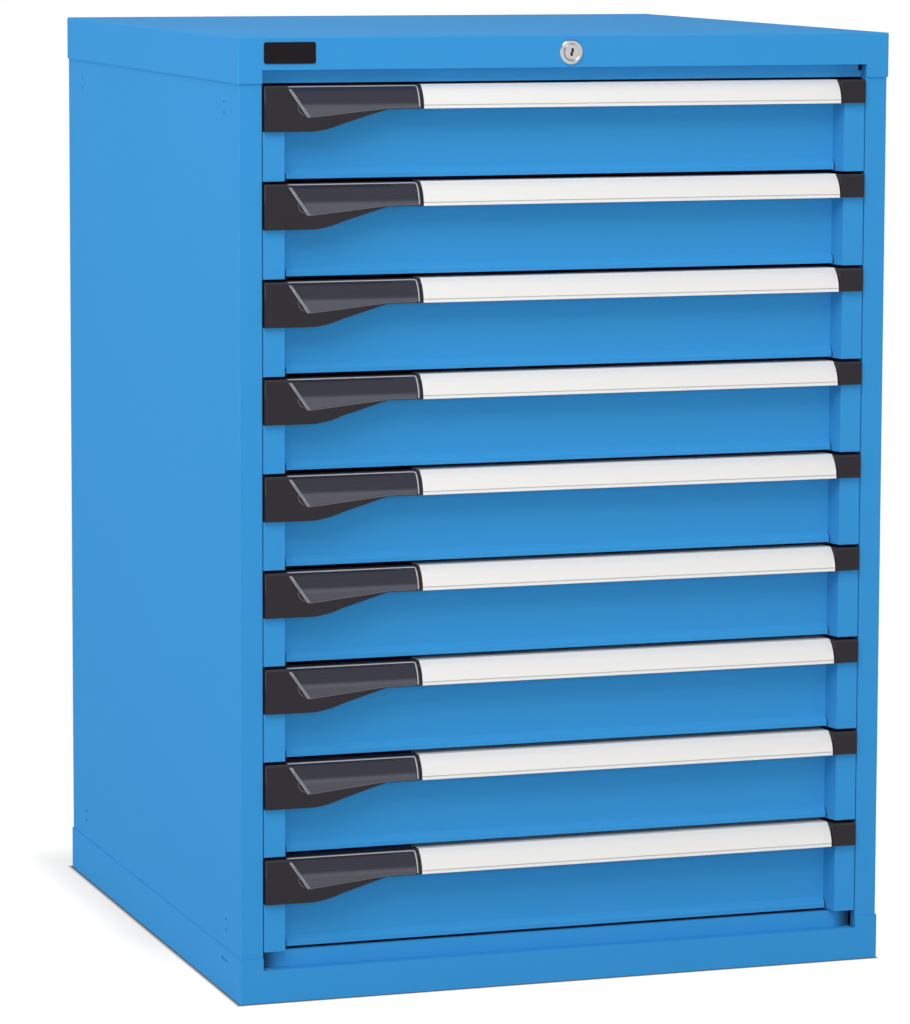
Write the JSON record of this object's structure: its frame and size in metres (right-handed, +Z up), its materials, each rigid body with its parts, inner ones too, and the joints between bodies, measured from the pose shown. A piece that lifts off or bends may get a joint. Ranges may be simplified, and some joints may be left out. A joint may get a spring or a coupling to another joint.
{
  "type": "multi-drawer storage cabinet",
  "caption": "Steel workshop drawer cabinet with equal full-width drawers on telescopic slides, hooded grip handles with label windows and one central lock.",
  "frame": {"origin": "centre of the footprint on the floor", "axes": "+X to the right seen from the front, +Y to the back (drawers open towards -Y), +Z up"},
  "size_m": [0.717, 0.725, 1],
  "materials": {
    "blue_paint": "light blue powder coat, satin, very fine orange peel",
    "zinc_steel": "zinc plated steel",
    "anodised_aluminium": "satin clear anodised extrusion",
    "black_plastic": "moulded charcoal black plastic, fine texture",
    "clear_plastic": "clear plastic label cover",
    "chrome": "polished nickel and chrome plating"
  },
  "bodies": {
    "cabinet": {"side_panel_left": "blue_paint", "side_panel_right": "blue_paint", "back_panel": "blue_paint", "top_cap": "blue_paint", "base_frame": "blue_paint", "head_rail": "blue_paint", "rail_uprights": "zinc_steel", "cabinet_rails": "zinc_steel", "name_plate": "black_plastic", "lock_housing": "chrome", "lock_guides": "zinc_steel"},
    "drawer_1": {"drawer_1": "blue_paint", "handle_profile_1": "anodised_aluminium", "handle_ends_1": "black_plastic", "label_window_1": "clear_plastic"},
    "drawer_2": {"drawer_2": "blue_paint", "handle_profile_2": "anodised_aluminium", "handle_ends_2": "black_plastic", "label_window_2": "clear_plastic"},
    "drawer_3": {"drawer_3": "blue_paint", "handle_profile_3": "anodised_aluminium", "handle_ends_3": "black_plastic", "label_window_3": "clear_plastic"},
    "drawer_4": {"drawer_4": "blue_paint", "handle_profile_4": "anodised_aluminium", "handle_ends_4": "black_plastic", "label_window_4": "clear_plastic"},
    "drawer_5": {"drawer_5": "blue_paint", "handle_profile_5": "anodised_aluminium", "handle_ends_5": "black_plastic", "label_window_5": "clear_plastic"},
    "drawer_6": {"drawer_6": "blue_paint", "handle_profile_6": "anodised_aluminium", "handle_ends_6": "black_plastic", "label_window_6": "clear_plastic"},
    "drawer_7": {"drawer_7": "blue_paint", "handle_profile_7": "anodised_aluminium", "handle_ends_7": "black_plastic", "label_window_7": "clear_plastic"},
    "drawer_8": {"drawer_8": "blue_paint", "handle_profile_8": "anodised_aluminium", "handle_ends_8": "black_plastic", "label_window_8": "clear_plastic"},
    "drawer_9": {"drawer_9": "blue_paint", "handle_profile_9": "anodised_aluminium", "handle_ends_9": "black_plastic", "label_window_9": "clear_plastic"},
    "slide_1": {"slide_carriage_1": "zinc_steel"},
    "slide_2": {"slide_carriage_2": "zinc_steel"},
    "slide_3": {"slide_carriage_3": "zinc_steel"},
    "slide_4": {"slide_carriage_4": "zinc_steel"},
    "slide_5": {"slide_carriage_5": "zinc_steel"},
    "slide_6": {"slide_carriage_6": "zinc_steel"},
    "slide_7": {"slide_carriage_7": "zinc_steel"},
    "slide_8": {"slide_carriage_8": "zinc_steel"},
    "slide_9": {"slide_carriage_9": "zinc_steel"},
    "lock_bar": {"lock_bar": "zinc_steel"},
    "lock_plug": {"lock_plug": "chrome", "lock_cam": "zinc_steel"},
    "lock_slider": {"lock_slider": "zinc_steel"}
  },
  "joints": [
    {"name": "drawer_1_slide", "type": "slide", "parent": "cabinet", "child": "drawer_1", "axis": [0, -1, 0], "range_m": [0, 0.65]},
    {"name": "drawer_2_slide", "type": "slide", "parent": "cabinet", "child": "drawer_2", "axis": [0, -1, 0], "range_m": [0, 0.65]},
    {"name": "drawer_3_slide", "type": "slide", "parent": "cabinet", "child": "drawer_3", "axis": [0, -1, 0], "range_m": [0, 0.65]},
    {"name": "drawer_4_slide", "type": "slide", "parent": "cabinet", "child": "drawer_4", "axis": [0, -1, 0], "range_m": [0, 0.65]},
    {"name": "drawer_5_slide", "type": "slide", "parent": "cabinet", "child": "drawer_5", "axis": [0, -1, 0], "range_m": [0, 0.65]},
    {"name": "drawer_6_slide", "type": "slide", "parent": "cabinet", "child": "drawer_6", "axis": [0, -1, 0], "range_m": [0, 0.65]},
    {"name": "drawer_7_slide", "type": "slide", "parent": "cabinet", "child": "drawer_7", "axis": [0, -1, 0], "range_m": [0, 0.65]},
    {"name": "drawer_8_slide", "type": "slide", "parent": "cabinet", "child": "drawer_8", "axis": [0, -1, 0], "range_m": [0, 0.65]},
    {"name": "drawer_9_slide", "type": "slide", "parent": "cabinet", "child": "drawer_9", "axis": [0, -1, 0], "range_m": [0, 0.65]},
    {"name": "carriage_1_slide", "type": "slide", "parent": "cabinet", "child": "slide_1", "axis": [0, -1, 0], "range_m": [0, 0.325]},
    {"name": "carriage_2_slide", "type": "slide", "parent": "cabinet", "child": "slide_2", "axis": [0, -1, 0], "range_m": [0, 0.325]},
    {"name": "carriage_3_slide", "type": "slide", "parent": "cabinet", "child": "slide_3", "axis": [0, -1, 0], "range_m": [0, 0.325]},
    {"name": "carriage_4_slide", "type": "slide", "parent": "cabinet", "child": "slide_4", "axis": [0, -1, 0], "range_m": [0, 0.325]},
    {"name": "carriage_5_slide", "type": "slide", "parent": "cabinet", "child": "slide_5", "axis": [0, -1, 0], "range_m": [0, 0.325]},
    {"name": "carriage_6_slide", "type": "slide", "parent": "cabinet", "child": "slide_6", "axis": [0, -1, 0], "range_m": [0, 0.325]},
    {"name": "carriage_7_slide", "type": "slide", "parent": "cabinet", "child": "slide_7", "axis": [0, -1, 0], "range_m": [0, 0.325]},
    {"name": "carriage_8_slide", "type": "slide", "parent": "cabinet", "child": "slide_8", "axis": [0, -1, 0], "range_m": [0, 0.325]},
    {"name": "carriage_9_slide", "type": "slide", "parent": "cabinet", "child": "slide_9", "axis": [0, -1, 0], "range_m": [0, 0.325]},
    {"name": "lock_bar_lift", "type": "slide", "parent": "cabinet", "child": "lock_bar", "axis": [0, 0, 1], "range_m": [0, 0.01]},
    {"name": "lock_plug_turn", "type": "hinge", "parent": "cabinet", "child": "lock_plug", "pos_m": [0, -0.3595, 0.9825], "axis": [0, 1, 0], "range_deg": [0, 90]},
    {"name": "lock_slider_slide", "type": "slide", "parent": "cabinet", "child": "lock_slider", "axis": [-1, 0, 0], "range_m": [0, 0.01]}
  ],
  "couplings": [
    {"joint": "carriage_1_slide", "follows": "drawer_1_slide", "ratio": 0.5},
    {"joint": "carriage_2_slide", "follows": "drawer_2_slide", "ratio": 0.5},
    {"joint": "carriage_3_slide", "follows": "drawer_3_slide", "ratio": 0.5},
    {"joint": "carriage_4_slide", "follows": "drawer_4_slide", "ratio": 0.5},
    {"joint": "carriage_5_slide", "follows": "drawer_5_slide", "ratio": 0.5},
    {"joint": "carriage_6_slide", "follows": "drawer_6_slide", "ratio": 0.5},
    {"joint": "carriage_7_slide", "follows": "drawer_7_slide", "ratio": 0.5},
    {"joint": "carriage_8_slide", "follows": "drawer_8_slide", "ratio": 0.5},
    {"joint": "carriage_9_slide", "follows": "drawer_9_slide", "ratio": 0.5},
    {"joint": "lock_plug_turn", "follows": "lock_bar_lift", "rad_per_m": 157.08},
    {"joint": "lock_slider_slide", "follows": "lock_bar_lift", "ratio": 1}
  ]
}
